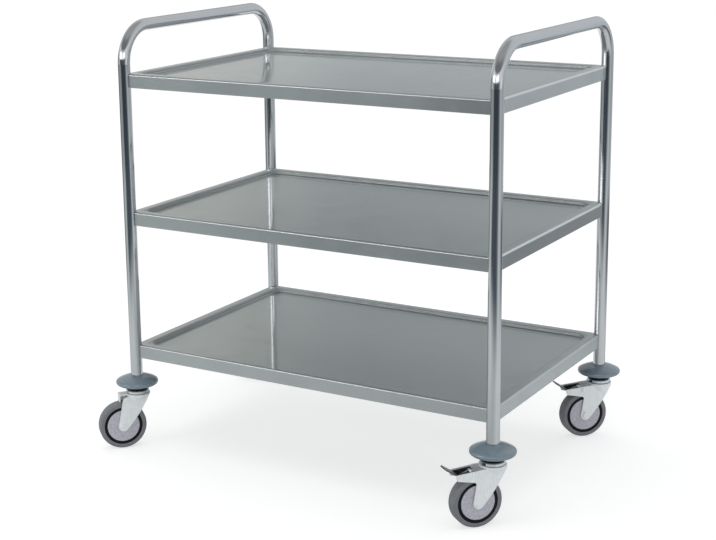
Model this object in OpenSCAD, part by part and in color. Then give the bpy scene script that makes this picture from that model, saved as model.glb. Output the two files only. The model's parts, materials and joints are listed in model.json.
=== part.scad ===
// Three-tier serving trolley: two bent tube end frames carry three pressed
// trays and stand on swivel castors, two of them with foot brakes.
// Millimetres, +Z up, origin on the floor under the middle of the frame,
// +X along the trays towards the braked castors, +Y towards the back.

/* [Frame] */
// Outside diameter of the frame tube
tube_d = 25.4; // [22:0.2:30]
// Wall thickness of the frame tube
tube_wall = 1.2; // [1:0.1:2]
// Distance between the post axes along the trolley
post_span_x = 828; // [600:1:1000]
// Distance between the post axes across the trolley
post_span_y = 538; // [400:1:620]
// Centreline radius of the handle bends
bend_r = 74; // [50:1:80]
// Height of the handle's centreline above the top tray's rim
handle_rise = 93.5; // [90:0.5:160]
// Height of the bottom tray's rim above the lower ends of the posts
bottom_rise = 89.5; // [70:0.5:160]
// Distance from one tray's rim to the next
tray_pitch = 287; // [200:1:360]

/* [Trays] */
// Thickness of the tray sheet
sheet_t = 1; // [0.8:0.1:1.5]
// How far the tray's sides stand outside the post axes
tray_over = 2.5; // [1:0.5:5]
// Height of the tray's turned-down sides
apron_h = 28; // [24:1:45]
// Width of the raised rim round the tray
rim_w = 22; // [18:1:40]
// Depth of the tray's floor below the rim
tray_depth = 8; // [7:0.5:12]
// Corner radius of the tray's recess
recess_r = 24; // [12:1:60]
// Rounding where the sides turn down
edge_r = 4; // [2:0.5:6]
// Roundings at the top and the foot of the step
step_r = 3; // [2:0.5:3]
// Width of the hem turned in under the sides
hem_w = 12; // [8:1:20]
// Clearance between a post and the notch that clasps it
notch_gap = 0.3; // [0.2:0.05:0.8]
// Width of the stiffening channel under each tray
channel_w = 60; // [40:1:120]
// Depth of the stiffening channel
channel_h = 14; // [8:1:16]
// Width of the channel's welded flanges
flange_w = 15; // [8:1:20]

/* [Tray fixings] */
// Thread diameter of the bolts between trays and posts
tray_bolt_d = 6; // [5:0.5:8]
// Head diameter of those bolts
tray_bolt_head_d = 10.5; // [9.5:0.5:12]
// Head height of those bolts
tray_bolt_head_h = 3.3; // [2:0.1:5]
// Outside diameter of the threaded inserts in the posts
insert_d = 9; // [8.5:0.5:11]
// Length of the threaded inserts
insert_l = 10; // [6:0.5:11]
// Depth of the bolts below the rim
tray_bolt_drop = 17; // [14:0.5:19]

/* [Castor wheels] */
// Wheel diameter
wheel_d = 100; // [80:1:125]
// Width of the tyre
tyre_w = 26; // [20:1:30]
// Thickness of the tyre, from tread to seat
tyre_t = 9.4; // [7:0.1:15]
// Rounding of the tyre's shoulders
tyre_r = 4.5; // [2:0.1:6]
// Diameter of the thread guard discs
guard_d = 68; // [50:1:70]
// How far inside the tyre's side the thread guards lie
guard_inset = 1; // [0.5:0.1:2]
// How far inside the tyre's side the wheel centre's ring ends
ring_inset = 0.8; // [0.3:0.1:1.5]
// Bevel round a thread guard
guard_bevel = 0.7; // [0.3:0.1:1]
// Thickness of the thread guard discs
guard_t = 1.5; // [1:0.1:2]
// Running gap between a thread guard and the wheel
guard_gap = 0.6; // [0.4:0.1:1.5]
// Outside diameter of the wheel's hub
hub_d = 27; // [22:0.5:32]
// Thickness of the wheel centre's web and ribs
web_t = 3; // [2:0.5:5]
// Number of ribs on each side of the web
rib_count = 8; // [5:1:12]
// Outside diameter of the bush that the wheel turns on
bush_d = 12; // [11:0.5:16]
// Running clearance between the bush and the wheel
bush_gap = 0.08; // [0.03:0.01:0.1]
// Thread diameter of the axle bolt
axle_d = 8; // [6:0.5:9]
// Width across the flats of the axle bolt's head and nut
axle_af = 13; // [12:0.5:16]
// Height of the axle bolt's head and nut
axle_head_h = 5; // [4:0.5:7]
// Diameter of the washer face under the head and the nut
axle_washer_d = 17; // [15:0.5:22]

/* [Castor forks] */
// Distance from the swivel axis back to the axle
trail = 35; // [25:1:45]
// Thickness of the fork's sheet
fork_t = 2.5; // [2:0.1:3.5]
// Gap between each side of the tyre and the fork
fork_side_gap = 2.5; // [2:0.1:5]
// Gap from the top of the wheel up to the fork's crown
crown_gap = 15; // [14:0.5:25]
// Diameter of the fork's round crown
crown_d = 53; // [46:1:58]
// Thickness of the crown at the ball race
crown_t = 3.5; // [3:0.1:5]
// Height over which the crown narrows to the legs
shoulder_h = 15; // [8:1:20]
// Radius of the rounded leg ends round the axle
lobe_r = 11; // [9:0.5:14]
// How far the legs' front edges bow out
leg_bow = 3; // [1:0.5:5]
// How far the plain forks' bridge reaches behind the swivel axis
bridge_reach = 41.5; // [36:0.5:45]
// Width of the bridge
bridge_w = 20; // [14:1:26]
// Gap between the bridge's lip and the height of the wheel's top
bridge_gap = 2; // [1.5:0.5:5]
// Swivel angles of the four castors as they stand, in degrees from +X
castor_yaw_fl = 228; // [0:1:360]
castor_yaw_fr = 230; // [0:1:360]
castor_yaw_bl = 228; // [0:1:360]
castor_yaw_br = 225; // [0:1:360]

/* [Swivel heads] */
// Diameter of the upper race
head_d = 49; // [44:1:54]
// Height of the upper race
head_h = 6; // [5:0.5:9]
// Gap between the upper race and the crown
race_gap = 1.5; // [1.2:0.1:2]
// Diameter of the bearing balls
ball_d = 4.8; // [4:0.1:5.2]
// Diameter of the circle on which the balls run
ball_circle_d = 36; // [32:0.5:38]
// Number of balls in a race
ball_count = 20; // [12:1:22]
// Running clearance round the balls
ball_gap = 0.06; // [0.03:0.01:0.1]
// Outside diameter of the hollow rivet that holds the crown
rivet_d = 16; // [15:0.5:18]
// Running clearance between the rivet and the crown
rivet_gap = 0.08; // [0.03:0.01:0.1]
// Diameter of the rivet's swaged lip
lip_d = 24; // [20:0.5:27]
// Thickness of the rivet's lip
lip_t = 2.5; // [2:0.1:4]
// Clearance between the lip and the crown
lip_gap = 0.3; // [0.2:0.05:0.6]
// Diameter of the black dust seal
seal_d = 44; // [40:1:48]
// Height of the dust seal
seal_h = 5.5; // [4:0.5:8]

/* [Bumpers and expanders] */
// Diameter of the bumper discs
bumper_d = 89; // [70:1:110]
// Height of the bumper above its widest line
bumper_up = 15.5; // [10:0.5:18]
// Depth of the bumper below its widest line
bumper_down = 11; // [9:0.5:16]
// Rounding of the bumper's edge
bumper_r = 5.5; // [3:0.5:7]
// Thickness of the bumper's floor under the post
bumper_floor = 3; // [2:0.5:5]
// Clearance of the bumper and the expander on the post
post_gap = 0.1; // [0.05:0.05:0.4]
// Thread diameter of the stem bolt
stem_d = 10; // [8:0.5:12]
// Width across the flats of the stem bolt's head
stem_af = 17; // [15:0.5:19]
// Height of the stem bolt's head
stem_head_h = 6.4; // [5:0.1:8]
// Length of the expander sleeve inside the post
sleeve_l = 38; // [25:1:50]
// Length of the cone nut above the sleeve
cone_l = 12; // [8:1:18]
// Width of the sleeve's slots
slot_w = 2; // [1:0.5:4]

/* [Foot brakes] */
// How far the brake arms reach behind the swivel axis
arm_reach = 81; // [76:1:95]
// Height of the brake arms at their ends
arm_end_h = 12; // [10:0.5:16]
// Distance from the swivel axis back to the brake pin
pin_back = 43; // [40:1:46]
// Height of the brake pin above the wheel
pin_up = 7; // [6:0.5:10]
// Diameter of the brake pin
pin_d = 5; // [4:0.5:6]
// Running clearance between the pin and the lever
pin_gap = 0.08; // [0.03:0.01:0.1]
// Gap between each side of the lever and the fork
lever_gap = 1.5; // [0.5:0.1:3]
// Thickness of the lever's sheet
lever_t = 2.5; // [1.5:0.1:3]
// Angle through which the lever is pressed to brake
brake_angle = 12; // [6:1:14]
// Clearance between shoe and tread with the lever pressed
shoe_gap = 0.6; // [0.4:0.1:1.5]
// Thickness of the brake shoe
shoe_t = 2; // [1:0.1:3]
// Length of the foot plate
foot_l = 34; // [26:1:45]
// Slope of the foot plate
foot_slope = 33; // [20:1:50]
// Wire diameter of the lever's spring
wire_d = 1.4; // [1:0.1:1.8]
// Number of turns in the spring
spring_turns = 5; // [3:1:7]

/* [Hidden] */
$fn = 96;
eps = 0.01;

// Castor heights, from the floor up
wheel_r = wheel_d / 2;
axle_z = wheel_r;
crown_under = wheel_d + crown_gap;
crown_top = crown_under + crown_t;
head_z = crown_top + race_gap;
seal_z = head_z + head_h;
bumper_z = seal_z + seal_h;
post_z = bumper_z + bumper_floor;
bumper_mid = bumper_z + bumper_down;
pin_z = wheel_d + pin_up;

// Frame and tray places
tube_r = tube_d / 2;
bore_r = tube_r - tube_wall;
bottom_z = post_z + bottom_rise;
middle_z = bottom_z + tray_pitch;
top_z = middle_z + tray_pitch;
handle_z = top_z + handle_rise;
tray_x = post_span_x / 2 + tray_over;
tray_y = post_span_y / 2 + tray_over;
notch_r = tube_r + notch_gap;
recess_x = tray_x - rim_w;
recess_y = tray_y - rim_w;
insert_r0 = tube_r - insert_l;
head_seat = notch_r + sheet_t;

// Castor widths and radii, and a reach that is past every castor part
far = crown_d + wheel_d + arm_reach;
fork_in = tyre_w / 2 + fork_side_gap;
fork_out = fork_in + fork_t;
seat_r = wheel_r - tyre_t;
ball_z = (crown_top + head_z) / 2;
stem_head_z = crown_under - lip_gap - lip_t - stem_head_h;
sleeve_z = post_z;
cone_z = sleeve_z + sleeve_l;
guard_in = tyre_w / 2 - guard_inset;
// Brake arm and lever places, in the plane of the wheel
arm_end = [arm_reach, crown_under - 10.5];
arm_low = [trail + 5, wheel_d - 7.5];
lever_foot = arm_end - [5, -0.5];
lever_floor = lever_t + 1;
pin_at = [pin_back, pin_z];
pin_to_axle = [trail, axle_z] - pin_at;
// The wheel's centre as the released lever sees it once pressed
tread_at = pin_at + [
    pin_to_axle.x * cos(brake_angle) - pin_to_axle.y * sin(brake_angle),
    pin_to_axle.x * sin(brake_angle) + pin_to_axle.y * cos(brake_angle)];

function post_at(i) = [
    (i == 0 || i == 2 ? -1 : 1) * post_span_x / 2,
    (i < 2 ? -1 : 1) * post_span_y / 2, 0];
YAWS = [castor_yaw_fl, castor_yaw_fr, castor_yaw_bl, castor_yaw_br];
function inward(i) = [i % 2 == 0 ? 1 : -1, i < 2 ? 1 : -1, 0] / sqrt(2);
function inward_angle(i) = atan2(inward(i).y, inward(i).x);
function tangent(p, c, r, side) =
    let (d = norm(c - p), a = acos(r / d), b = atan2(p.y - c.y, p.x - c.x))
    c + r * [cos(b + side * a), sin(b + side * a)];

STEEL = [0.74, 0.75, 0.76];
TUBE = [0.62, 0.65, 0.68];
ZINC = [0.80, 0.82, 0.83];
RUBBER = [0.36, 0.36, 0.38];
BUMPER = [0.40, 0.45, 0.50];
BLACK = [0.07, 0.07, 0.08];
GUARD = [0.62, 0.59, 0.63];

// Puts a castor's parts under their post and turns them to their swivel angle
module at_castor(i) {
    translate(post_at(i)) rotate([0, 0, YAWS[i]]) children();
}

// A side view in the plane of the wheel, extruded across it
module across(w0, w1) {
    translate([0, w1, 0]) rotate([90, 0, 0]) linear_extrude(w1 - w0) children();
}

module hexagon(af, h) {
    cylinder(d = af / cos(30), h = h, $fn = 6);
}

// A cylinder from one distance to another along a post's line to the middle
module toward_middle(i, z, r, d0, d1) {
    translate(post_at(i) + [0, 0, z]) rotate([0, 0, inward_angle(i)])
        rotate([0, 90, 0]) translate([0, 0, d0]) cylinder(r = r, h = d1 - d0);
}

// End frame: one tube, two posts joined by the handle
module tube_section(r) {
    circle(r = r);
}

module frame_path(x, r) {
    straight_z = handle_z - bend_r - post_z;
    for (side = [-1, 1]) {
        translate([x, side * post_span_y / 2, post_z]) linear_extrude(straight_z) tube_section(r);
        translate([x, side * (post_span_y / 2 - bend_r), handle_z - bend_r])
            rotate([90, 0, 90]) mirror([side < 0 ? 1 : 0, 0, 0])
            rotate_extrude(angle = 90) translate([bend_r, 0]) tube_section(r);
    }
    translate([x, post_span_y / 2 - bend_r, handle_z]) rotate([90, 0, 0])
        linear_extrude(post_span_y - 2 * bend_r) tube_section(r);
}

module frame(side) {
    color(TUBE) difference() {
        frame_path(side * post_span_x / 2, tube_r);
        frame_path(side * post_span_x / 2, bore_r);
        for (i = [0:3], z = [bottom_z, middle_z, top_z])
            if (post_at(i).x * side > 0)
                toward_middle(i, z - tray_bolt_drop, insert_d / 2, bore_r - 2, tube_r + 1);
    }
}

// The tray's outside, or with an inset the inside of its sheet
module tray_block(inset) {
    module rounded(half) {
        translate([-half + inset, -apron_h]) square([2 * (half - inset), apron_h - edge_r]);
        translate([-half + edge_r, -edge_r]) square([2 * (half - edge_r), edge_r - inset]);
        for (s = [-1, 1]) translate([s * (half - edge_r), -edge_r]) circle(r = edge_r - inset);
    }
    intersection() {
        rotate([90, 0, 0]) linear_extrude(2 * tray_y, center = true) rounded(tray_x);
        rotate([90, 0, 90]) linear_extrude(2 * tray_x, center = true) rounded(tray_y);
    }
}

// The space round one post, flared at the top where the rim's edge is rounded
module notch(inset) {
    rotate_extrude() {
        translate([0, -apron_h - 1]) square([notch_r + inset, apron_h + 2]);
        difference() {
            translate([0, -edge_r]) square([notch_r + edge_r, edge_r + 1]);
            translate([notch_r + edge_r, -edge_r]) circle(r = edge_r - inset);
        }
    }
}

// The recess, or grown by the sheet the space that its underside takes
module recess(grow) {
    depth = tray_depth + grow;
    foot_r = step_r + grow;
    module half_profile(w) {
        difference() {
            union() {
                translate([0, -depth]) square([w + grow, depth + 1]);
                difference() {
                    translate([0, -step_r]) square([w + step_r, step_r + 1]);
                    translate([w + step_r, -step_r]) circle(r = step_r - grow);
                }
            }
            difference() {
                translate([w + grow - foot_r, -depth - 1]) square([foot_r + 1, foot_r + 1]);
                translate([w + grow - foot_r, -depth + foot_r]) circle(r = foot_r);
            }
        }
    }
    module profile(w) {
        half_profile(w);
        mirror([1, 0]) half_profile(w);
    }
    rotate([90, 0, 0]) linear_extrude(2 * (recess_y - recess_r), center = true)
        profile(recess_x);
    rotate([90, 0, 90]) linear_extrude(2 * (recess_x - recess_r), center = true)
        profile(recess_y);
    for (sx = [-1, 1], sy = [-1, 1])
        translate([sx * (recess_x - recess_r), sy * (recess_y - recess_r), 0])
            rotate_extrude() half_profile(recess_r);
}

// The opening inside the hem
module hem_opening() {
    translate([0, 0, -apron_h - 1]) linear_extrude(sheet_t + 1 + eps) difference() {
        square([2 * (tray_x - hem_w), 2 * (tray_y - hem_w)], center = true);
        for (i = [0:3]) translate(post_at(i)) circle(r = notch_r + hem_w);
    }
}

module tray(z) {
    color(STEEL) translate([0, 0, z]) difference() {
        tray_block(0);
        recess(0);
        for (i = [0:3]) translate(post_at(i)) notch(0);
        difference() {
            tray_block(sheet_t);
            recess(sheet_t);
            for (i = [0:3]) translate(post_at(i)) notch(sheet_t);
            translate([-tray_x, -tray_y, -apron_h - 1])
                cube([2 * tray_x, 2 * tray_y, 1 + sheet_t]);
        }
        hem_opening();
        for (i = [0:3])
            toward_middle(i, -tray_bolt_drop, tray_bolt_d / 2 + 0.3, notch_r - 1, head_seat + 1);
    }
}

// Hat-section stiffeners, spot welded under the floors of the trays
module tray_channels() {
    length = 2 * (recess_y - step_r - 2);
    color(STEEL) for (z = [bottom_z, middle_z, top_z])
        translate([0, 0, z - tray_depth - sheet_t]) rotate([90, 0, 0])
        linear_extrude(length, center = true) difference() {
            union() {
                translate([-channel_w / 2 - flange_w, -sheet_t])
                    square([channel_w + 2 * flange_w, sheet_t]);
                translate([-channel_w / 2, -channel_h]) square([channel_w, channel_h]);
            }
            translate([-channel_w / 2 + sheet_t, sheet_t - channel_h])
                square([channel_w - 2 * sheet_t, channel_h]);
        }
}

// Domed bolts from inside each tray's corners into the posts
module tray_bolts() {
    color(ZINC) for (i = [0:3], z = [bottom_z, middle_z, top_z])
        translate(post_at(i) + [0, 0, z - tray_bolt_drop])
        rotate([0, 0, inward_angle(i)]) rotate([0, 90, 0]) difference() {
            union() {
                translate([0, 0, insert_r0 + 0.5])
                    cylinder(d = tray_bolt_d, h = head_seat - insert_r0);
                translate([0, 0, head_seat])
                    cylinder(d1 = tray_bolt_head_d, d2 = 0.6 * tray_bolt_head_d,
                             h = tray_bolt_head_h);
            }
            translate([0, 0, head_seat + tray_bolt_head_h - 2]) hexagon(4, 3);
        }
}

// Threaded inserts set in the posts
module tray_inserts() {
    color(ZINC) for (i = [0:3], z = [bottom_z, middle_z, top_z]) difference() {
        toward_middle(i, z - tray_bolt_drop, insert_d / 2, insert_r0, tube_r - 0.4);
        toward_middle(i, z - tray_bolt_drop, tray_bolt_d / 2, insert_r0 - 1, tube_r);
    }
}

// Half the bumper's section: a shallow arc that runs tangent into the edge
module bumper_half(h) {
    edge = [bumper_d / 2 - bumper_r, 0];
    edge_r = bumper_r - 0.03;
    arc_r = (pow(edge.x, 2) + pow(h, 2) - pow(edge_r, 2)) / (2 * (h - edge_r));
    centre = [0, h - arc_r];
    lean = (edge - centre) / (arc_r - edge_r);
    intersection() {
        translate(centre) circle(r = arc_r, $fn = 240);
        polygon([[0, 0], edge, edge + 2 * h * lean, [0, 2 * h]]);
    }
}

// Soft disc that meets walls first, with the post's end on its floor
module bumper(i) {
    color(BUMPER) at_castor(i) difference() {
        translate([0, 0, bumper_mid]) rotate_extrude() intersection() {
            union() {
                bumper_half(bumper_up);
                mirror([0, 1]) bumper_half(bumper_down);
                translate([bumper_d / 2 - bumper_r, 0]) circle(r = bumper_r);
            }
            translate([0, -bumper_down]) square([bumper_d, bumper_up + bumper_down]);
        }
        translate([0, 0, post_z]) cylinder(r = tube_r + post_gap, h = bumper_d);
        translate([0, 0, bumper_z - 1]) cylinder(d = stem_d + 1, h = bumper_floor + 2);
    }
}

module dust_seal(i) {
    color(BLACK) at_castor(i) translate([0, 0, seal_z]) difference() {
        union() {
            cylinder(d = seal_d, h = seal_h / 2);
            translate([0, 0, seal_h / 2]) cylinder(d1 = seal_d, d2 = seal_d - 5, h = seal_h / 2);
        }
        translate([0, 0, -1]) cylinder(d = stem_d + 1, h = seal_h + 2);
    }
}

// Upper race with its hollow rivet, swaged over below the fork's crown
module upper_race(i) {
    lip_z = crown_under - lip_gap - lip_t;
    color(ZINC) at_castor(i) difference() {
        union() {
            translate([0, 0, head_z]) cylinder(d = head_d, h = head_h - 1.5);
            translate([0, 0, seal_z - 1.5]) cylinder(d1 = head_d, d2 = head_d - 3, h = 1.5);
            translate([0, 0, lip_z]) cylinder(d = rivet_d, h = seal_z - lip_z - 1);
            translate([0, 0, lip_z]) cylinder(d = lip_d, h = lip_t);
        }
        translate([0, 0, lip_z - 1]) cylinder(d = stem_d + 2 * post_gap, h = seal_z);
        ball_groove();
    }
}

module ball_groove() {
    rotate_extrude() translate([ball_circle_d / 2, ball_z]) circle(d = ball_d + 2 * ball_gap);
}

module balls(i) {
    color("silver") at_castor(i) for (k = [0 : ball_count - 1])
        rotate([0, 0, 360 * k / ball_count]) translate([ball_circle_d / 2, 0, ball_z])
            sphere(d = ball_d, $fn = 32);
}

// Slotted sleeve and cone nut that grip the inside of the post
module expander(i) {
    r = bore_r - post_gap;
    bolt_r = stem_d / 2 + post_gap;
    ring = 8;
    color(BLACK) at_castor(i) {
        translate([0, 0, sleeve_z]) difference() {
            cylinder(r = r, h = sleeve_l);
            translate([0, 0, -1]) cylinder(r = bolt_r, h = sleeve_l + 2);
            for (a = [0, 90]) rotate([0, 0, a])
                translate([-slot_w / 2, -r - 1, ring]) cube([slot_w, 2 * r + 2, sleeve_l]);
        }
        translate([0, 0, cone_z + eps]) difference() {
            cylinder(r1 = r - 3, r2 = r - 0.5, h = cone_l);
            translate([0, 0, -1]) cylinder(r = bolt_r, h = cone_l + 2);
        }
    }
}

// Stem bolt: up through the rivet, the bumper and the expander
module stem_bolt(i) {
    color(ZINC) at_castor(i) {
        translate([0, 0, stem_head_z]) hexagon(stem_af, stem_head_h);
        translate([0, 0, stem_head_z + stem_head_h - eps])
            cylinder(d = stem_d, h = cone_z + cone_l + 3 - stem_head_z - stem_head_h);
    }
}

// The strip between a straight line and an arc that bows out from it
module bow(p, q, depth) {
    half = norm(q - p) / 2;
    r = half * half / (2 * depth) + depth / 2;
    dir = (q - p) / (2 * half);
    out = [-dir.y, dir.x];
    ends = [p - 2 * dir, q + 2 * dir];
    intersection() {
        translate((p + q) / 2 - (r - depth) * out) circle(r = r, $fn = 360);
        polygon([ends[0] - out, ends[0] + 2 * depth * out, ends[1] + 2 * depth * out, ends[1] - out]);
    }
}

// Side view of a fork's leg, from the crown to the lobe round the axle
module leg_outline(braked) {
    axle = [trail, axle_z];
    front_top = [-crown_d / 2 + 5, crown_under];
    back_top = [trail + (braked ? 1 : -1), crown_under - (braked ? 3 : 4)];
    front_low = tangent(front_top, axle, lobe_r - 0.03, 1);
    translate(axle) circle(r = lobe_r);
    bow(front_low, front_top, leg_bow);
    polygon([
        [0, crown_under + crown_t / 2],
        front_top,
        front_low,
        axle,
        tangent(back_top, axle, lobe_r - 0.03, -1),
        back_top,
        [crown_d / 2 - 8, crown_under + crown_t / 2]]);
}

// Side view of the arm that carries the brake, its end cut back at the foot
module arm_outline() {
    fillet = 6;
    top_r = 1.5;
    low_r = 4;
    top = arm_end + [-top_r, arm_end_h / 2 - top_r];
    low = arm_end + [-low_r - 1.5, low_r - arm_end_h / 2];
    translate(top) circle(r = top_r);
    translate(low) circle(r = low_r);
    polygon([
        [10, crown_under + crown_t / 2],
        [crown_d / 2 - 8, crown_under + crown_t / 2],
        [trail + 4, crown_under - 1],
        top + [0, top_r],
        top + [top_r, 0],
        low + [low_r, 0],
        low - [0, low_r],
        arm_low + [fillet, 0],
        arm_low - [20, 0]]);
    difference() {
        translate(arm_low - [2, fillet]) square([fillet + 2, fillet + eps]);
        translate(arm_low + [fillet, -fillet]) circle(r = fillet);
    }
}

// The fork's outside, or with an inset the inside of its sheet
module fork_block(inset, w) {
    shoulder_z = crown_under - shoulder_h;
    translate([-far, -w, -axle_z]) cube([2 * far, 2 * w, crown_under + axle_z]);
    translate([0, 0, shoulder_z])
        cylinder(r1 = w, r2 = crown_d / 2 - inset, h = shoulder_h + eps);
    translate([0, 0, crown_under]) cylinder(r = crown_d / 2 - inset, h = crown_t - inset);
}

module fork(i, braked) {
    shoulder_z = crown_under - shoulder_h;
    color(ZINC) at_castor(i) difference() {
        union() {
            intersection() {
                difference() {
                    fork_block(0, fork_out);
                    translate([-far, -fork_in, -axle_z])
                        cube([2 * far, 2 * fork_in, crown_under + axle_z]);
                    translate([0, 0, shoulder_z])
                        cylinder(r1 = fork_in, r2 = crown_d / 2 - fork_t, h = shoulder_h);
                }
                across(-crown_d, crown_d) union() {
                    leg_outline(braked);
                    if (braked) arm_outline();
                }
            }
            crown_disc();
            if (!braked) bridge();
        }
        translate([0, 0, crown_under - 5]) cylinder(d = rivet_d + 2 * rivet_gap, h = crown_t + 10);
        ball_groove();
        across(-fork_out - 1, fork_out + 1) translate([trail, axle_z]) circle(d = axle_d + 0.2);
        if (braked)
            across(-fork_out - 1, fork_out + 1) translate([pin_back, pin_z]) circle(d = pin_d + 0.1);
    }
}

module crown_disc() {
    edge = 1.2;
    rotate_extrude() {
        translate([0, crown_under]) square([crown_d / 2, crown_t - edge]);
        translate([0, crown_under]) square([crown_d / 2 - edge, crown_t]);
        translate([crown_d / 2 - edge, crown_top - edge]) circle(r = edge);
    }
}

// Web between the plain fork's legs, with a lip turned down at the back
module bridge() {
    bend = 2;
    across(-bridge_w / 2, bridge_w / 2) {
        translate([10, crown_under]) square([bridge_reach - 10 - bend, crown_t]);
        translate([bridge_reach - fork_t, wheel_d + bridge_gap])
            square([fork_t, crown_top - bend - wheel_d - bridge_gap]);
        translate([bridge_reach - bend, crown_top - bend]) circle(r = bend);
    }
}

// Bolt, bush and nut on which the wheel turns
module axle(i) {
    color(ZINC) at_castor(i) translate([trail, 0, axle_z]) rotate([-90, 0, 0]) {
        translate([0, 0, fork_out]) cylinder(d = axle_washer_d, h = 1);
        translate([0, 0, fork_out]) hexagon(axle_af, axle_head_h);
        translate([0, 0, -fork_out - axle_head_h - 2])
            cylinder(d = axle_d, h = 2 * fork_out + axle_head_h + 2 + eps);
        difference() {
            translate([0, 0, -fork_in]) cylinder(d = bush_d, h = 2 * fork_in);
            translate([0, 0, -fork_in - 1]) cylinder(d = axle_d + 0.1, h = 2 * fork_in + 2);
        }
        difference() {
            union() {
                translate([0, 0, -fork_out - 1]) cylinder(d = axle_washer_d, h = 1);
                translate([0, 0, -fork_out - axle_head_h]) hexagon(axle_af, axle_head_h);
            }
            translate([0, 0, -fork_out - axle_head_h - 1]) cylinder(d = axle_d + 0.1, h = axle_head_h + 2);
        }
    }
}

// Discs on both sides that keep thread and hair off the hub
module thread_guards(i) {
    rim_r = guard_d / 2;
    color(GUARD) at_castor(i) translate([trail, 0, axle_z]) for (s = [-90, 90])
        rotate([s, 0, 0]) difference() {
            union() {
                translate([0, 0, guard_in]) cylinder(r = rim_r, h = guard_t - guard_bevel);
                translate([0, 0, guard_in + guard_t - guard_bevel])
                    cylinder(r1 = rim_r, r2 = rim_r - 1.7 * guard_bevel, h = guard_bevel);
                translate([0, 0, guard_in]) cylinder(r = bush_d / 2 + 4, h = fork_in - guard_in);
            }
            translate([0, 0, guard_in - 1]) cylinder(d = bush_d + 0.1, h = fork_in);
        }
}

// Moulded wheel centre: hub, ribbed web and the ring that seats the tyre
module rim(i) {
    hub_half = guard_in - guard_gap;
    ring_half = tyre_w / 2 - ring_inset;
    ring_in = guard_d / 2 + guard_gap;
    color(BLACK) at_castor(i) translate([trail, 0, axle_z]) rotate([90, 0, 0]) difference() {
        union() {
            translate([0, 0, -hub_half]) cylinder(d = hub_d, h = 2 * hub_half);
            translate([0, 0, -web_t / 2]) cylinder(r = seat_r - web_t / 2, h = web_t);
            difference() {
                translate([0, 0, -ring_half]) cylinder(r = seat_r, h = 2 * ring_half);
                for (s = [0, 180]) rotate([s, 0, 0]) {
                    translate([0, 0, web_t / 2])
                        cylinder(r1 = ring_in - web_t, r2 = ring_in,
                            h = guard_in - guard_inset - web_t / 2);
                    translate([0, 0, guard_in - guard_inset - eps])
                        cylinder(r = ring_in, h = tyre_w);
                }
            }
            for (k = [0 : rib_count - 1]) rotate([0, 0, 360 * (k + 0.5) / rib_count])
                translate([hub_d / 2 - web_t / 3, -web_t / 4, -hub_half + web_t / 3])
                    cube([(guard_d - hub_d) / 2 + web_t / 6, web_t / 2,
                        2 * hub_half - 2 * web_t / 3]);
        }
        translate([0, 0, -tyre_w]) cylinder(d = bush_d + 2 * bush_gap, h = 2 * tyre_w);
    }
}

module tyre(i) {
    r = min(tyre_r, 0.48 * tyre_t);
    color(RUBBER) at_castor(i) translate([trail, 0, axle_z]) rotate([90, 0, 0]) rotate_extrude() {
        translate([seat_r, -tyre_w / 2]) square([tyre_t - r, tyre_w]);
        translate([seat_r, -tyre_w / 2 + r]) square([tyre_t, tyre_w - 2 * r]);
        for (s = [-1, 1]) translate([wheel_r - r, s * (tyre_w / 2 - r)]) circle(r = r);
    }
}

// The pressed-on tread, grown by the given gap
module tread_circle(grow) {
    translate(tread_at) circle(r = wheel_r + grow, $fn = 240);
}

// Side view of the brake lever as it stands, released
module lever_outline() {
    boss_r = pin_d / 2 + 3;
    difference() {
        union() {
            translate(pin_at) circle(r = boss_r);
            polygon([
                pin_at + [0, boss_r],
                lever_foot + [0, 4],
                lever_foot,
                lever_foot + [-4, -4],
                pin_at + [24, -10.5],
                pin_at + [8, -9.5],
                pin_at]);
        }
        tread_circle(shoe_gap + shoe_t);
    }
}

// Foot lever: a channel open at the top, with the foot plate behind
module brake_lever(i) {
    w = fork_in - lever_gap;
    color(ZINC) at_castor(i) difference() {
        union() {
            difference() {
                across(-w, w) lever_outline();
                across(-w + lever_t, w - lever_t) {
                    translate([0, lever_floor]) lever_outline();
                    translate(pin_at - [10, 10]) square([10 + pin_d / 2 + 4, 25]);
                }
            }
            translate([lever_foot.x - 2.3, 0, lever_foot.y - 0.4]) rotate([0, -foot_slope, 0])
                linear_extrude(lever_t) foot_outline(w - 0.5);
        }
        across(-w - 1, w + 1) translate(pin_at) circle(d = pin_d + 2 * pin_gap);
    }
}

// Plan view of the foot plate, with rounded corners
module foot_outline(w) {
    r = w / 2;
    translate([-1, -w]) square([foot_l - r + 1, 2 * w]);
    translate([foot_l - r - 1, -w + r]) square([r + 1, 2 * (w - r)]);
    for (s = [-1, 1]) translate([foot_l - r, s * (w - r)]) circle(r = r);
}

// Shoe on the lever's underside, curved like the tread that it is pressed on
module brake_shoe(i) {
    w = fork_in - lever_gap - lever_t;
    color(BLACK) at_castor(i) across(-w, w) difference() {
        intersection() {
            tread_circle(shoe_gap + shoe_t);
            translate([pin_back + 9, wheel_d - 12]) square([14, 20]);
        }
        tread_circle(shoe_gap);
    }
}

// Rivet through both arms
module brake_pin(i) {
    color(ZINC) at_castor(i) translate([pin_back, 0, pin_z]) rotate([90, 0, 0]) {
        translate([0, 0, -fork_out - 1]) cylinder(d = pin_d, h = 2 * fork_out + 2);
        for (s = [0, 180]) rotate([s, 0, 0]) translate([0, 0, fork_out])
            cylinder(r1 = pin_d / 2 + 1.5, r2 = pin_d / 2, h = 1.6);
    }
}

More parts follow.
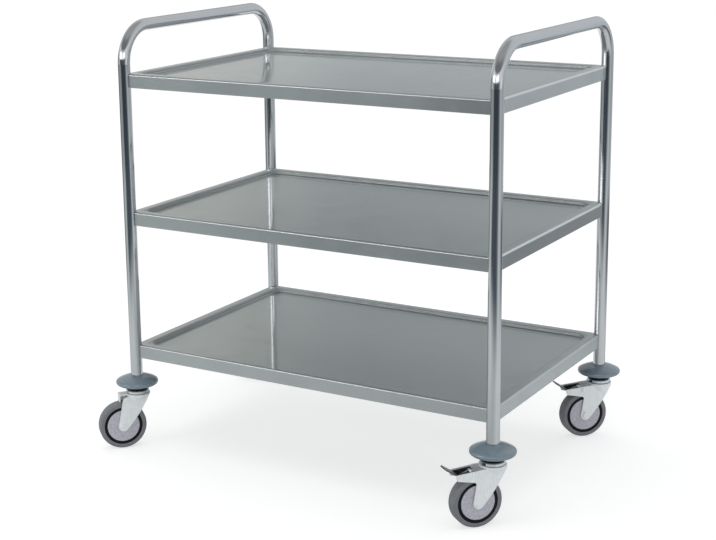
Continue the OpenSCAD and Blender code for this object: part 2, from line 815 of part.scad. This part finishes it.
// Torsion spring wound on the pin: its front leg bears on the crown's underside,
// its back leg on the lever's floor
module brake_spring(i) {
    sides = 8;
    per_turn = 12;
    r = pin_d / 2 + 0.4 + wire_d / 2;
    pitch = wire_d + 0.5;
    front_end = [pin_back - 21, crown_under - wire_d / 2 - 0.1];
    back_x = pin_back + 19;
    back_end = [back_x, tread_at.y + lever_floor + wire_d / 2 + 0.1
        + sqrt(pow(wheel_r + shoe_gap + shoe_t, 2) - pow(back_x - tread_at.x, 2))];
    on = tangent(front_end, pin_at, r, -1) - pin_at;
    off = tangent(back_end, pin_at, r, 1) - pin_at;
    a_on = atan2(on.y, on.x);
    a_off = atan2(off.y, off.x) - 360 * spring_turns;
    last = per_turn * spring_turns;
    function angle(k) = a_on + (a_off - a_on) * k / last;
    function radial(k) = [cos(angle(k)), 0, sin(angle(k))];
    function along(k) = let (v = [sin(angle(k)), -pitch / (2 * PI * r), -cos(angle(k))]) v / norm(v);
    function side(k) = pitch * spring_turns * (0.5 - k / last);
    function ring(c, k) = [for (j = [0 : sides - 1]) let (a = 360 * j / sides)
        c + wire_d / 2 * (cos(a) * radial(k) + sin(a) * cross(radial(k), along(k)))];
    rings = [
        ring([front_end.x - pin_at.x, side(0), front_end.y - pin_at.y], 0),
        for (k = [0 : last]) ring(r * radial(k) + [0, side(k), 0], k),
        ring([back_end.x - pin_at.x, side(last), back_end.y - pin_at.y], last)];
    count = len(rings);
    color("silver") at_castor(i) translate([pin_at.x, 0, pin_at.y]) polyhedron(
        [for (ring = rings) each ring],
        [[for (j = [0 : sides - 1]) j],
         for (k = [0 : count - 2], j = [0 : sides - 1])
            let (n = (j + 1) % sides, a = k * sides, b = a + sides)
            each [[a + j, b + n, a + n], [a + j, b + j, b + n]],
         [for (j = [sides - 1 : -1 : 0]) (count - 1) * sides + j]]);
}

frame(-1);  // left_frame
frame(1);  // right_frame
tray(top_z);  // top_tray
tray(middle_z);  // middle_tray
tray(bottom_z);  // bottom_tray
tray_channels();
tray_bolts();
tray_inserts();
bumper(0);  // front_left_bumper
dust_seal(0);  // front_left_dust_seal
upper_race(0);  // front_left_upper_race
expander(0);  // front_left_expander
stem_bolt(0);  // front_left_stem_bolt
balls(0);  // front_left_balls
fork(0, false);  // front_left_fork
axle(0);  // front_left_axle
thread_guards(0);  // front_left_thread_guards
rim(0);  // front_left_rim
tyre(0);  // front_left_tyre
bumper(1);  // front_right_bumper
dust_seal(1);  // front_right_dust_seal
upper_race(1);  // front_right_upper_race
expander(1);  // front_right_expander
stem_bolt(1);  // front_right_stem_bolt
balls(1);  // front_right_balls
fork(1, true);  // front_right_fork
axle(1);  // front_right_axle
thread_guards(1);  // front_right_thread_guards
rim(1);  // front_right_rim
tyre(1);  // front_right_tyre
brake_lever(1);  // front_right_brake_lever
brake_shoe(1);  // front_right_brake_shoe
brake_pin(1);  // front_right_brake_pin
brake_spring(1);  // front_right_brake_spring
bumper(2);  // back_left_bumper
dust_seal(2);  // back_left_dust_seal
upper_race(2);  // back_left_upper_race
expander(2);  // back_left_expander
stem_bolt(2);  // back_left_stem_bolt
balls(2);  // back_left_balls
fork(2, false);  // back_left_fork
axle(2);  // back_left_axle
thread_guards(2);  // back_left_thread_guards
rim(2);  // back_left_rim
tyre(2);  // back_left_tyre
bumper(3);  // back_right_bumper
dust_seal(3);  // back_right_dust_seal
upper_race(3);  // back_right_upper_race
expander(3);  // back_right_expander
stem_bolt(3);  // back_right_stem_bolt
balls(3);  // back_right_balls
fork(3, true);  // back_right_fork
axle(3);  // back_right_axle
thread_guards(3);  // back_right_thread_guards
rim(3);  // back_right_rim
tyre(3);  // back_right_tyre
brake_lever(3);  // back_right_brake_lever
brake_shoe(3);  // back_right_brake_shoe
brake_pin(3);  // back_right_brake_pin
brake_spring(3);  // back_right_brake_spring
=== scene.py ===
# %% [markdown]
# # A serving trolley in stainless steel
# Two bent tubes carry three pressed trays and stand on four swivel castors.
# The solids come from the CAD model. What they lack is how they look: the soft
# grain of rolled sheet, the mirror of a polished tube, the bloom of zinc plate,
# the dull skin of a grey tyre. Each cell below makes one of these, and then the
# plain studio that lets steel look like steel.

# %% Load the model
import json
import math
import bmesh
import bpy
from mathutils import Matrix, Vector

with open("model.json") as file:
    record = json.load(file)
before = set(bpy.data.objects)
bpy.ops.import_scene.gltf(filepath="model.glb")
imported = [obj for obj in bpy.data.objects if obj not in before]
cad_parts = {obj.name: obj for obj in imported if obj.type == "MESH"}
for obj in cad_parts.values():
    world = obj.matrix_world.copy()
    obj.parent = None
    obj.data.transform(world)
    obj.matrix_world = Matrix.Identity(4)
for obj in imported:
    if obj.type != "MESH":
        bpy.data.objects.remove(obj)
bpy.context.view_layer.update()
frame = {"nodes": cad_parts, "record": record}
nodes = frame["nodes"]

# %% [markdown]
# ## The camera
# The photograph was taken from the right front corner, a little above the top
# tray. Its vertical lines nearly keep their direction, which a shifted lens
# gives, so the camera has a small shift too. The angles were measured from the
# posts' edges and the trays' rims.

# %% Camera
WIDTH_PX, HEIGHT_PX = 716, 540
FOCAL_PX = 1530.8
PRINCIPAL_PX = (318, 220)
SENSOR_MM = 36
STANDS_AT = (1.5308, -2.7145, 1.1927)
YAW, DOWN, ROLL = 31.337, 12.816, -0.802
camera_data = bpy.data.cameras.new("trolley_camera")
camera_data.sensor_width = SENSOR_MM
camera_data.lens = FOCAL_PX * SENSOR_MM / WIDTH_PX
camera_data.shift_x = (WIDTH_PX / 2 - PRINCIPAL_PX[0]) / WIDTH_PX
camera_data.shift_y = (PRINCIPAL_PX[1] - HEIGHT_PX / 2) / WIDTH_PX
camera = bpy.data.objects.new("trolley_camera", camera_data)
bpy.context.collection.objects.link(camera)
turn = (Matrix.Rotation(math.radians(YAW), 4, "Z")
        @ Matrix.Rotation(math.radians(90 - DOWN), 4, "X")
        @ Matrix.Rotation(math.radians(ROLL), 4, "Z"))
camera.matrix_world = Matrix.Translation(STANDS_AT) @ turn
bpy.context.scene.camera = camera
print("lens:", round(camera_data.lens, 2), "mm")

# %% [markdown]
# ## Writing finishes as sums
# A finish is a small network of nodes. Wired by hand it hides what it does, so
# one class wraps an output socket and turns +, -, * and / into Math nodes. Then
# "0.3 + 0.1 * smudge" in a cell is exactly what the surface does.

# %% A socket that takes part in sums
class Wire:
    def __init__(self, board, socket):
        self.board, self.socket = board, socket

    def calc(self, operation, a, b):
        return self.board.node("ShaderNodeMath", {"operation": operation}, {0: a, 1: b})

    def __add__(self, other): return self.calc("ADD", self, other)
    def __radd__(self, other): return self.calc("ADD", other, self)
    def __sub__(self, other): return self.calc("SUBTRACT", self, other)
    def __rsub__(self, other): return self.calc("SUBTRACT", other, self)
    def __mul__(self, other): return self.calc("MULTIPLY", self, other)
    def __rmul__(self, other): return self.calc("MULTIPLY", other, self)
    def __truediv__(self, other): return self.calc("DIVIDE", self, other)
    def __abs__(self): return self.calc("ABSOLUTE", self, 0)
    def clip(self): return self.calc("MAXIMUM", self, 0)


# %% [markdown]
# ## A board to put nodes on
# Every other node comes from one method that takes the node's type, its
# settings and what goes into its sockets. The few nodes that come back often, a
# mix, a soft step, a noise, have short names of their own. Groups of nodes could
# hold them too, but a group can't be read as a line of code.

# %% A board of nodes
class Board:
    """A node tree, and the one way in which nodes are put on it."""

    def __init__(self, tree):
        self.tree = tree

    def plug(self, socket, value):
        if isinstance(value, Wire):
            self.tree.links.new(value.socket, socket)
        else:
            socket.default_value = value

    def node(self, kind, settings=None, inputs=None, out=0):
        made = self.tree.nodes.new(kind)
        for key, value in (settings or {}).items():
            if key == "stops":
                self.set_stops(made.color_ramp, value)
            else:
                setattr(made, key, value)
        for key, value in (inputs or {}).items():
            self.plug(made.inputs[key], value)
        return Wire(self, made.outputs[out])

    def set_stops(self, ramp, stops):
        while len(ramp.elements) < len(stops):
            ramp.elements.new(1.0)
        for element, (at, colour) in zip(ramp.elements, stops):
            element.position = at
            element.color = (*colour, 1)

    def mix(self, amount, a, b):
        return self.node("ShaderNodeMix", {"data_type": "RGBA"},
                         {0: amount, 6: a, 7: b}, out=2)

    def ramp(self, value, low, high, to_low=0.0, to_high=1.0):
        return self.node("ShaderNodeMapRange", {"interpolation_type": "SMOOTHSTEP"},
                         {0: value, 1: low, 2: high, 3: to_low, 4: to_high})

    def place(self):
        return self.node("ShaderNodeTexCoord", out="Object")

    def split(self, vector):
        first = self.node("ShaderNodeSeparateXYZ", {}, {0: vector})
        return [Wire(self, output) for output in first.socket.node.outputs]

    def stretch(self, place, scale):
        return self.node("ShaderNodeMapping", {}, {"Vector": place, "Scale": scale})

    def noise(self, place, scale, detail=2.0, roughness=0.5):
        return self.node("ShaderNodeTexNoise", {}, {"Vector": place, "Scale": scale,
                         "Detail": detail, "Roughness": roughness})


# %% A finish with one shader
class Finish(Board):
    """A material with one Principled shader, whose sockets are set by name."""

    def __init__(self, name, **fixed):
        self.material = bpy.data.materials.new(name)
        self.material.use_nodes = True
        super().__init__(self.material.node_tree)
        self.shader = self.tree.nodes["Principled BSDF"]
        self.set(**fixed)
        print("finish:", name)

    def set(self, **values):
        for key, value in values.items():
            if isinstance(value, tuple) and len(value) == 3:
                value = (*value, 1)
            self.plug(self.shader.inputs[key.replace("_", " ")], value)

    def bump(self, height, distance, strength=1.0):
        self.set(Normal=self.node("ShaderNodeBump", {}, {"Strength": strength,
                 "Distance": distance, "Height": height}))


# %% [markdown]
# ## Satin sheet
# The trays are pressed from rolled stainless sheet. Rolling leaves a fine grain
# along the sheet, which a noise stretched about two hundred times along X
# gives, and handling leaves broad, barely visible clouds where the surface is
# duller. The press leaves the rim domed by about half a millimetre, so it
# catches a light line, and leaves the drawn step round the recess duller than
# the rest. The outer edges of the two ends carry a painted highlight, a paler
# base colour that is strongest on the upper trays. An image of brushed metal would tile and
# a flat rim would look cut from card. The sums do neither.

# %% Tray steel
RECESS_X, RECESS_Y, RIM = 0.3945, 0.2495, 0.022     # half sizes and the rim's width
LOWEST_RIM, TRAY_PITCH = 0.224, 0.287
SOFT_CORNER = 0.015
DOMING = 5.0
DRAWN_STEP = (0.003, 0.006)     # from the recess's edge, where dull ends
EDGE = (-0.0045, -0.0025)       # from the rim's outer edge, where the painted highlight starts and is full
ABOVE_RIM = 0.1                 # heights up to this over a rim count as that tray's
# heights, shares and colour of the painted highlight: a paler base colour on the ends' outer
# edges
HIGHLIGHT_HEIGHTS, HIGHLIGHT_SHARES = (0.25, 0.5), (0.30, 0.80)
EDGE_HIGHLIGHT_COLOUR = (0.80, 0.82, 0.83, 1)


def sheet_steel():
    f = Finish("satin_sheet", Metallic=0.86, Coat_Roughness=0.06, Coat_IOR=2.0)
    place = f.place()
    x, y, z = f.split(place)
    outward = f.node("ShaderNodeMath", {"operation": "SMOOTH_MAX"},
                     {0: abs(x) - RECESS_X, 1: abs(y) - RECESS_Y, 2: SOFT_CORNER})
    dome = (outward * (RIM - outward)).clip() * DOMING
    grain = f.noise(f.stretch(place, (4, 700, 700)), 1.0, 4.0, 0.6)
    clouds = f.noise(place, 5.0, 3.0)
    spots = f.ramp(f.noise(place, 23.0, 4.0), 0.45, 0.80)
    drawn = f.ramp(abs(outward), *DRAWN_STEP, 1.0, 0.0)
    below = f.node("ShaderNodeMath", {"operation": "WRAP"},
                   {0: z - LOWEST_RIM, 1: ABOVE_RIM, 2: ABOVE_RIM - TRAY_PITCH})
    # painted highlight: the ends' outer edges get a paler base colour, more of it on the upper
    # trays
    edge = f.ramp(abs(x) - RECESS_X, RIM + EDGE[0], RIM + EDGE[1]) * f.ramp(below, *EDGE)
    edge_highlight = edge * f.ramp(z, *HIGHLIGHT_HEIGHTS, *HIGHLIGHT_SHARES)
    satin = f.mix(clouds, (0.36, 0.39, 0.395, 1), (0.43, 0.455, 0.455, 1))
    f.set(Base_Color=f.mix(edge_highlight, satin, EDGE_HIGHLIGHT_COLOUR),
          Roughness=0.28 + 0.10 * clouds + 0.06 * grain + 0.05 * spots + 0.15 * drawn,
          Coat_Weight=0.78 - 0.20 * spots - 0.50 * drawn)
    f.bump(dome + 0.000007 * grain, 1.0)
    return f.material


# %% [markdown]
# ## Polished tube
# The posts and handles are buffed along their length. They mirror the room, so
# a post shows a dark core where the unlit side of the studio is, and bright
# edges where the backdrop wraps round. A faint grain keeps the mirror from
# looking like glass.

# %% Tube steel
def tube_steel():
    f = Finish("polished_tube", Metallic=1.0)
    place = f.place()
    grain = f.noise(f.stretch(place, (900, 900, 12)), 1.0, 3.0)
    clouds = f.noise(place, 9.0, 2.0)
    f.set(Base_Color=f.mix(clouds, (0.52, 0.54, 0.56, 1), (0.60, 0.61, 0.62, 1)),
          Roughness=0.05 + 0.03 * clouds + 0.03 * grain)
    f.bump(grain, 0.00001, 0.2)
    return f.material


# %% [markdown]
# ## Zinc plate
# Forks, races and bolts are pressed steel plated with bright zinc. The plate is
# pale and slightly cloudy, duller than the polished tube, and its crystals
# break the reflection up a little. The two brake levers get a dark plate
# that mirrors less. The races over the forks are turned and
# polished before plating, so theirs mirrors most. The balls and the brakes'
# springs are bare bright steel, which needs a function of its own.

# %% Plated and bright steel
def zinc_plate(name, dark, light, metal, roughness):
    f = Finish(name, Metallic=metal)
    place = f.place()
    crystals = f.node("ShaderNodeTexVoronoi", {}, {"Vector": place, "Scale": 420.0})
    clouds = f.noise(f.stretch(place, (260, 260, 90)), 1.0, 4.0)
    f.set(Base_Color=f.mix(f.ramp(clouds, 0.35, 0.65), (*dark, 1), (*light, 1)),
          Roughness=roughness + 0.10 * clouds + 0.05 * crystals)
    f.bump(clouds, 0.0001, 0.3)
    return f.material


def bright_steel():
    f = Finish("bright_steel", Metallic=1.0)
    marks = f.noise(f.place(), 300.0, 2.0)
    f.set(Base_Color=(0.66, 0.66, 0.67), Roughness=0.12 + 0.08 * marks)
    return f.material


# %% [markdown]
# ## Rubber and plastic
# The bumper discs are blue-grey and glossy, the tyres grey and matt, the wheel
# centres, seals and brake shoes black, and the thread guards a warm lilac grey
# with a coarse moulded skin. One function makes them all, each with a skin from
# noise at its own scale, because they differ in numbers alone.

# %% Moulded finishes
def moulded(name, dark, light, roughness, skin, depth, gloss, blotch=1 / 12):
    f = Finish(name, Specular_IOR_Level=gloss)
    place = f.place()
    mottle = f.ramp(f.noise(place, skin * blotch, 3.0), 0.3, 0.7)
    pores = f.noise(place, skin, 3.0, 0.7)
    f.set(Base_Color=f.mix(mottle, (*dark, 1), (*light, 1)),
          Roughness=roughness - 0.06 + 0.12 * mottle)
    f.bump(pores, depth, 0.5)
    return f.material


# %% All the finishes
dark_plate = zinc_plate("dark_plate", (0.07, 0.075, 0.08), (0.13, 0.13, 0.13), 0.9, 0.26)
race_plate = zinc_plate("race_plate", (0.62, 0.64, 0.66), (0.74, 0.76, 0.78), 1.0, 0.10)
special = {"brake_lever": dark_plate, "upper_race": race_plate}
finishes = {
    "tray_steel": sheet_steel(),
    "tube_steel": tube_steel(),
    "zinc_plate": zinc_plate(
        "zinc_plate", (0.85, 0.88, 0.89), (0.92, 0.94, 0.94), 0.22, 0.28),
    "bright_steel": bright_steel(),
    "bumper_rubber": moulded(
        "bumper_skin", (0.176, 0.232, 0.275), (0.194, 0.250, 0.292), 0.18,
        skin=900, depth=0.00002, gloss=1.0),
    "grey_tyre": moulded(
        "tyre_skin", (0.188, 0.193, 0.207), (0.218, 0.222, 0.236), 0.58,
        skin=1400, depth=0.0001, gloss=0.4),
    "shoe_rubber": moulded(
        "shoe_skin", (0.02, 0.02, 0.02), (0.03, 0.03, 0.03), 0.7,
        skin=900, depth=0.0001, gloss=0.3),
    "black_plastic": moulded(
        "black_moulding", (0.004, 0.005, 0.008), (0.008, 0.009, 0.013), 0.5,
        skin=1100, depth=0.00004, gloss=0.15),
    "guard_plastic": moulded(
        "guard_skin", (0.46, 0.44, 0.50), (0.60, 0.58, 0.65), 0.45,
        skin=500, depth=0.0001, gloss=0.4, blotch=1 / 2),
}

# %% [markdown]
# ## Which piece gets which
# The record names a material slot for every solid, so the finishes are handed
# out by that name. Two kinds of piece differ from the rest of their slot, the
# brake levers and the upper races, and are picked by their own names.

# %% Give each node its finish
slots = {entry["node"]: entry["material_slot"] for entry in frame["record"]["subparts"]}
for name, node in nodes.items():
    without_corner = name.split("_", 2)[-1]
    material = special.get(without_corner, finishes[slots[name]])
    for slot in node.material_slots:
        slot.material = material
print("finished nodes:", len(slots))

# %% [markdown]
# ## The room that steel mirrors
# Steel shows its surroundings, so the studio matters more than the metal's own
# colour. Round the trolley stand a white backdrop, grey walls at its sides and,
# where the photographer stands, the unlit end of the room. That end draws the
# dark cores down the posts. Each ring below is a row of colours by compass
# bearing. Three describe the walls: the lowest at eye height, a band of soft
# boxes above it, and the wall over them. Three more are painted light and shade
# on the floor, as the steel sees it near the trolley, farther out and at the walls' foot. It
# could all be built from cards and lamps, but a ring needs no geometry.

# %% Rings of colour on the walls
def by_bearing(*stops):
    """Degrees from the front, -180 to 180, as stops of a ramp."""
    return [((degrees + 180) / 360, colour) for degrees, colour in stops]


COOL, WARM = (0.46, 0.52, 0.55), (0.74, 0.75, 0.71)
BACK_AND_LEFT = [(-180, COOL), (-151, COOL), (-143, WARM), (-118, (0.66, 0.68, 0.66)),
                 (-92, (0.17, 0.18, 0.19)), (-76, (0.50, 0.52, 0.52)),
                 (-60, (0.84, 0.87, 0.86))]
UNLIT_END = [(30, (0.095, 0.12, 0.145)), (46, (0.14, 0.17, 0.19)),
             (60, (0.40, 0.44, 0.46)), (70, (0.90, 0.94, 0.95))]
LOW_RING = by_bearing(
    *BACK_AND_LEFT, (-44, (0.42, 0.46, 0.46)), (-33, (0.24, 0.27, 0.28)),
    (-24, (0.08, 0.10, 0.12)), *UNLIT_END, (91, (1.12, 1.14, 1.14)), (106, (0.68, 0.70, 0.71)),
    (128, (0.58, 0.62, 0.66)), (150, (0.76, 0.80, 0.85)), (180, COOL))
BAND_RING = by_bearing(
    (-180, (0.70, 0.72, 0.74)), (-168, (0.62, 0.64, 0.64)), (-159, (0.43, 0.47, 0.48)),
    (-150, (0.34, 0.38, 0.40)), (-144, (0.60, 0.61, 0.58)), (-118, (0.66, 0.68, 0.66)),
    (-84, (0.76, 0.78, 0.78)), (-50, (1.05, 1.06, 1.06)), (-15, (1.00, 1.01, 1.01)),
    (60, (1.00, 1.00, 1.00)), (95, (0.84, 0.85, 0.85)), (132, (0.74, 0.77, 0.80)),
    (180, (0.70, 0.72, 0.74)))
HIGH_RING = by_bearing(
    (-180, (0.74, 0.75, 0.76)), (-118, (0.62, 0.63, 0.62)), (-80, (0.46, 0.47, 0.46)),
    (-40, (0.22, 0.24, 0.25)), (50, (0.24, 0.26, 0.28)), (100, (0.62, 0.63, 0.64)),
    (140, (0.74, 0.76, 0.78)), (180, (0.74, 0.75, 0.76)))
print("stops of the wall rings:", len(LOW_RING), len(BAND_RING), len(HIGH_RING))

# %% Painted light and shade on the floor, as rings
# painted light and shade on the floor: how lit the paper looks to the steel at each bearing
# and distance
NEAR_FLOOR_PAINTED_LIGHT = by_bearing(
    (-180, (0.66, 0.68, 0.69)), (-80, (0.86, 0.88, 0.88)), (-12, (0.86, 0.88, 0.88)),
    (10, (0.74, 0.76, 0.77)), (30, (0.66, 0.68, 0.69)), (50, (0.76, 0.78, 0.79)),
    (65, (0.98, 0.99, 0.99)), (122, (1.02, 1.04, 1.05)), (138, (0.90, 0.93, 0.95)),
    (150, (0.50, 0.55, 0.60)), (165, (0.46, 0.51, 0.57)), (180, (0.66, 0.68, 0.69)))
MIDDLE_FLOOR_PAINTED_LIGHT = by_bearing(
    *BACK_AND_LEFT, (-44, (0.64, 0.68, 0.68)), (-36, (0.54, 0.58, 0.58)),
    (-27, (0.10, 0.12, 0.14)), *UNLIT_END, (91, (1.00, 1.02, 1.02)), (106, (0.60, 0.62, 0.63)),
    (122, (0.24, 0.25, 0.26)), (150, (0.24, 0.25, 0.26)), (164, (0.70, 0.74, 0.76)),
    (180, COOL))
FAR_FLOOR_PAINTED_LIGHT = by_bearing(
    *BACK_AND_LEFT, (-44, (0.66, 0.70, 0.70)), (-30, (0.60, 0.64, 0.65)),
    (-19, (0.10, 0.12, 0.14)), *UNLIT_END, (91, (1.12, 1.14, 1.14)), (106, (0.80, 0.82, 0.83)),
    (128, (0.90, 0.93, 0.96)), (150, (1.12, 1.16, 1.20)), (165, (1.00, 1.04, 1.08)),
    (180, COOL))
print("stops of the floor rings:", len(NEAR_FLOOR_PAINTED_LIGHT), len(MIDDLE_FLOOR_PAINTED_LIGHT), len(FAR_FLOOR_PAINTED_LIGHT))


# %% [markdown]
# ## Who sees white
# The photograph's background is white, but a room that is white all round would
# turn the posts white too. So white is kept for the camera's own rays and for
# rays through glass, and for mirrored rays that travel away from the camera,
# over a cone behind the trolley. All other mirrored rays see the rings. White
# boards behind the trolley could do this, but they would show in other views.

# %% Rings and white as nodes
BEHIND = (-0.52, 0.85)      # the level direction from the trolley to the backdrop
CONE = (0.72, 0.92)         # cosines of the angles at which it starts and is full


def ring(board, x, y, stops):
    bearing = x.calc("ARCTAN2", x, 0 - y) / (2 * math.pi) + 0.5
    return board.node("ShaderNodeValToRGB", {"stops": stops}, {0: bearing})


def sees_white(board, x, y):
    """1 for the camera's rays, rays through glass, and mirrored rays that go behind."""
    path = board.node("ShaderNodeLightPath").socket.node
    camera, through, mirrored = [Wire(board, path.outputs[name]) for name in
                                 ("Is Camera Ray", "Is Transmission Ray", "Is Glossy Ray")]
    along = board.node("ShaderNodeVectorMath", {"operation": "NORMALIZE"},
                       {0: board.node("ShaderNodeCombineXYZ", {}, {0: x, 1: y})})
    side, depth, _ = board.split(along)
    behind = board.ramp(BEHIND[1] * depth + BEHIND[0] * side, *CONE)
    direct = camera.calc("MAXIMUM", camera, through)
    return direct, direct.calc("MAXIMUM", direct, mirrored * behind)


# %% World
BAND_FROM, HIGH_FROM, CEILING_FROM = (0.05, 0.15), (0.38, 0.52), (0.72, 0.92)
CEILING = (0.46, 0.47, 0.47, 1)
WHITE = (1, 1, 1, 1)
world = bpy.data.worlds.new("studio")
bpy.context.scene.world = world
world.use_nodes = True
sky = Board(world.node_tree)
x, y, z = sky.split(sky.node("ShaderNodeTexCoord", out="Generated"))
room = sky.mix(sky.ramp(z, *BAND_FROM),
               ring(sky, x, y, LOW_RING), ring(sky, x, y, BAND_RING))
room = sky.mix(sky.ramp(z, *HIGH_FROM), room, ring(sky, x, y, HIGH_RING))
room = sky.mix(sky.ramp(z, *CEILING_FROM), room, CEILING)
direct, white = sees_white(sky, x, y)
white = white.calc("MAXIMUM", direct, white * sky.ramp(z, *BAND_FROM, 1.0, 0.0))
backdrop = world.node_tree.nodes["Background"]
sky.plug(backdrop.inputs["Color"], sky.mix(white, room, WHITE))
print("world: a white backdrop, grey walls and an unlit front")

# %% [markdown]
# ## Three lamps
# A broad lamp overhead gives the soft shadow under the lowest tray. It is kept
# out of mirrored rays, because on polished tube it would lie as one long white
# streak. Two low boxes in front, left and right of the camera, light the trays'
# front faces and give the white spot where each handle starts to bend. They
# could have been part of the rings, but then a tray seen from behind would
# mirror one endless white band.

# %% Lamps
def soft_box(name, where, towards, size, radiance, mirrored=True):
    data = bpy.data.lights.new(name, "AREA")
    data.shape, data.size, data.size_y = "RECTANGLE", size[0], size[1]
    data.energy = math.pi * size[0] * size[1] * radiance
    lamp = bpy.data.objects.new(name, data)
    lamp.location = where
    aim = Vector(towards) - Vector(where)
    lamp.rotation_euler = aim.to_track_quat("-Z", "Y").to_euler()
    lamp.visible_glossy = mirrored
    bpy.context.collection.objects.link(lamp)
    print("lamp:", name, round(data.energy, 1), "W")


soft_box("overhead", (-0.2, -0.1, 3.2), (0, 0, 0.5), (3.6, 2.8), 1.2, mirrored=False)
soft_box("front_left", (-1.7, -2.9, 1.6), (0, 0, 0.6), (1.8, 0.8), 3.6)
soft_box("beside_camera", (1.3, -3.2, 1.7), (0, 0, 0.6), (1.9, 0.75), 2.0)

# %% [markdown]
# ## The floor
# White paper with the trolley's soft shadow on it. Near the trolley the camera
# sees two fifths lit paper, painted a little over white, and three fifths plain
# white, which keeps the shadow as light as a white sweep does. Farther out it is
# all white, so no edge shows. What the steel mirrors is lit paper with painted
# light and shade: the colours of the floor's three rings, one after the other
# with distance, stand in for how brightly the lamps light the paper at each
# bearing and for the unlit end of the room. A plain white floor would be
# simpler, but it would wash the trays' front faces out.

# %% Floor
HALF_FLOOR, UNDER_WHEELS = 9.0, 0.0005
bm = bmesh.new()
bmesh.ops.create_grid(bm, x_segments=1, y_segments=1, size=HALF_FLOOR)
bmesh.ops.translate(bm, verts=bm.verts, vec=(0, 0, -UNDER_WHEELS))
mesh = bpy.data.meshes.new("floor")
bm.to_mesh(mesh)
bm.free()
floor = bpy.data.objects.new("floor", mesh)
bpy.context.collection.objects.link(floor)

# %% Paper
NEAR_ENDS, MIDDLE_ENDS, PLAIN_FROM = (1.2, 2.15), (2.6, 3.3), (0.9, 2.0)
LIT_WHITE = (1.38, 1.38, 1.38, 1)
NEAR_SHARE, PLAIN_STRENGTH = 0.60, 1.03
paper = bpy.data.materials.new("paper")
paper.use_nodes = True
sheet = Board(paper.node_tree)
paper.node_tree.nodes.remove(paper.node_tree.nodes["Principled BSDF"])
place = sheet.place()
x, y, z = sheet.split(place)
distance = sheet.node("ShaderNodeVectorMath", {"operation": "LENGTH"},
                      {0: place}, out="Value")
_, white = sees_white(sheet, x, y)
# the paper's colour for mirrored rays is painted light and shade, taken from the floor rings
mirrored = sheet.mix(sheet.ramp(distance, *NEAR_ENDS),
                     ring(sheet, x, y, NEAR_FLOOR_PAINTED_LIGHT), ring(sheet, x, y, MIDDLE_FLOOR_PAINTED_LIGHT))
mirrored = sheet.mix(sheet.ramp(distance, *MIDDLE_ENDS),
                     mirrored, ring(sheet, x, y, FAR_FLOOR_PAINTED_LIGHT))
lit = sheet.node("ShaderNodeBsdfDiffuse", {},
                 {"Color": sheet.mix(white, mirrored, LIT_WHITE)})
plain = sheet.node("ShaderNodeEmission", {}, {"Color": WHITE, "Strength": PLAIN_STRENGTH})
whiteness = white * sheet.ramp(distance, *PLAIN_FROM, NEAR_SHARE, 1.0)
surface = sheet.node("ShaderNodeMixShader", {}, {0: whiteness, 1: lit, 2: plain})
sheet.plug(paper.node_tree.nodes["Material Output"].inputs["Surface"], surface)
floor.data.materials.append(paper)
print("floor: white paper")

# %% [markdown]
# ## The view
# The Standard view shows a colour as it is written, where a film look would
# grey the white paper.

# %% Finish
view = bpy.context.scene.view_settings
view.view_transform = "Standard"
